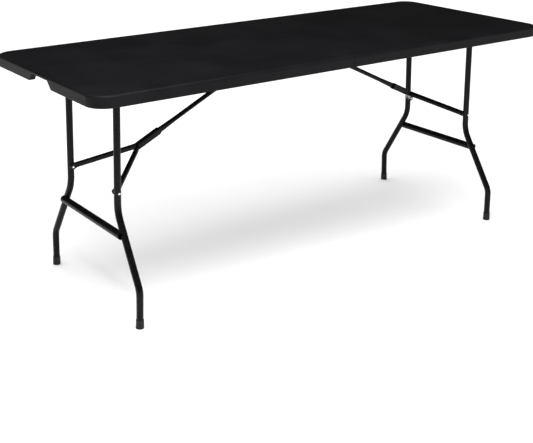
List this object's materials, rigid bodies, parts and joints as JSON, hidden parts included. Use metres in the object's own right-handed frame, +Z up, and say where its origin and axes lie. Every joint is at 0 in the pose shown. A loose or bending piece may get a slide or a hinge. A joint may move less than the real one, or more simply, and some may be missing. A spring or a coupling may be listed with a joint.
{
  "type": "folding table",
  "caption": "Long rectangular table whose moulded top folds in half at a middle seam, on splayed folding leg frames with Y-shaped braces.",
  "frame": {"origin": "on the floor, under the middle of the seam between the two halves", "axes": "+X along the table's length, +Y across it towards the side with the carry handle, +Z up"},
  "size_m": [1.8, 0.717, 0.742],
  "materials": {
    "top_plastic": "black HDPE with a fine pebbled mould texture",
    "powder_coat": "black powder coat, semi-gloss",
    "sleeve_coat": "black powder coat with worn rub marks",
    "black_steel": "black coated sheet steel, satin",
    "bright_zinc": "bright zinc plate",
    "nylon": "black nylon",
    "foot_plastic": "black polyethylene, satin",
    "handle_plastic": "black moulded plastic, semi-gloss"
  },
  "bodies": {
    "left_half": {"left_top": "top_plastic", "left_rail_front": "black_steel", "left_rail_rear": "black_steel", "left_rail_screws": "bright_zinc", "left_bracket_screws": "bright_zinc", "left_pivot_bushes": "nylon", "left_brace_bracket": "black_steel", "left_anchor_pin": "bright_zinc", "left_hinge_leaf_front": "black_steel", "left_hinge_leaf_rear": "black_steel", "hinge_pin_front": "bright_zinc", "hinge_pin_rear": "bright_zinc"},
    "left_leg_frame": {"left_leg_pivot_tube": "powder_coat", "left_leg_front": "powder_coat", "left_leg_rear": "powder_coat", "left_leg_crossbar": "powder_coat", "left_foot_front": "foot_plastic", "left_foot_rear": "foot_plastic", "left_leg_rivets": "bright_zinc"},
    "left_brace_link": {"left_brace": "powder_coat"},
    "left_yoke": {"left_yoke_arm_front": "powder_coat", "left_yoke_arm_rear": "powder_coat", "left_yoke_pin": "bright_zinc", "left_yoke_rivets": "bright_zinc"},
    "left_sleeve": {"left_lock_sleeve": "sleeve_coat"},
    "right_half": {"right_top": "top_plastic", "right_rail_front": "black_steel", "right_rail_rear": "black_steel", "right_rail_screws": "bright_zinc", "right_bracket_screws": "bright_zinc", "right_pivot_bushes": "nylon", "right_brace_bracket": "black_steel", "right_anchor_pin": "bright_zinc", "right_hinge_leaf_front": "black_steel", "right_hinge_leaf_rear": "black_steel", "handle_brackets": "handle_plastic", "handle_pins": "bright_zinc", "handle_screws": "bright_zinc"},
    "right_leg_frame": {"right_leg_pivot_tube": "powder_coat", "right_leg_front": "powder_coat", "right_leg_rear": "powder_coat", "right_leg_crossbar": "powder_coat", "right_foot_front": "foot_plastic", "right_foot_rear": "foot_plastic", "right_leg_rivets": "bright_zinc"},
    "right_brace_link": {"right_brace": "powder_coat"},
    "right_yoke": {"right_yoke_arm_front": "powder_coat", "right_yoke_arm_rear": "powder_coat", "right_yoke_pin": "bright_zinc", "right_yoke_rivets": "bright_zinc"},
    "right_sleeve": {"right_lock_sleeve": "sleeve_coat"},
    "handle": {"handle_grip": "handle_plastic"}
  },
  "joints": [
    {"name": "middle_fold", "type": "hinge", "parent": "left_half", "child": "right_half", "pos_m": [0, 0, 0.706], "axis": [0, 1, 0], "range_deg": [0, 90]},
    {"name": "left_leg_fold", "type": "hinge", "parent": "left_half", "child": "left_leg_frame", "pos_m": [-0.7343, 0, 0.715], "axis": [0, -1, 0], "range_deg": [0, 92.5]},
    {"name": "left_brace_swing", "type": "hinge", "parent": "left_half", "child": "left_brace_link", "pos_m": [-0.044, 0, 0.726], "axis": [0, 1, 0], "range_deg": [0, 25.5]},
    {"name": "left_yoke_swing", "type": "hinge", "parent": "left_brace_link", "child": "left_yoke", "pos_m": [-0.56083, 0, 0.4795], "axis": [0, -1, 0], "range_deg": [0, 176.98]},
    {"name": "left_sleeve_slide", "type": "slide", "parent": "left_brace_link", "child": "left_sleeve", "axis": [0.9026, 0, 0.4305], "range_m": [0, 0.1001]},
    {"name": "right_leg_fold", "type": "hinge", "parent": "right_half", "child": "right_leg_frame", "pos_m": [0.7343, 0, 0.715], "axis": [0, 1, 0], "range_deg": [0, 92.5]},
    {"name": "right_brace_swing", "type": "hinge", "parent": "right_half", "child": "right_brace_link", "pos_m": [0.044, 0, 0.726], "axis": [0, -1, 0], "range_deg": [0, 25.5]},
    {"name": "right_yoke_swing", "type": "hinge", "parent": "right_brace_link", "child": "right_yoke", "pos_m": [0.56083, 0, 0.4795], "axis": [0, 1, 0], "range_deg": [0, 176.98]},
    {"name": "right_sleeve_slide", "type": "slide", "parent": "right_brace_link", "child": "right_sleeve", "axis": [-0.9026, 0, 0.4305], "range_m": [0, 0.1001]},
    {"name": "handle_swing", "type": "hinge", "parent": "right_half", "child": "handle", "pos_m": [0.45, 0.358, 0.722], "axis": [1, 0, 0], "range_deg": [0, 120]}
  ],
  "couplings": [
    {"joint": "left_brace_swing", "follows": "left_leg_fold", "ratio": 0.27566},
    {"joint": "left_yoke_swing", "follows": "left_leg_fold", "ratio": 1.9132},
    {"joint": "left_sleeve_slide", "follows": "left_leg_fold", "m_per_rad": 0.061942},
    {"joint": "right_brace_swing", "follows": "right_leg_fold", "ratio": 0.27566},
    {"joint": "right_yoke_swing", "follows": "right_leg_fold", "ratio": 1.9132},
    {"joint": "right_sleeve_slide", "follows": "right_leg_fold", "m_per_rad": 0.061942}
  ]
}
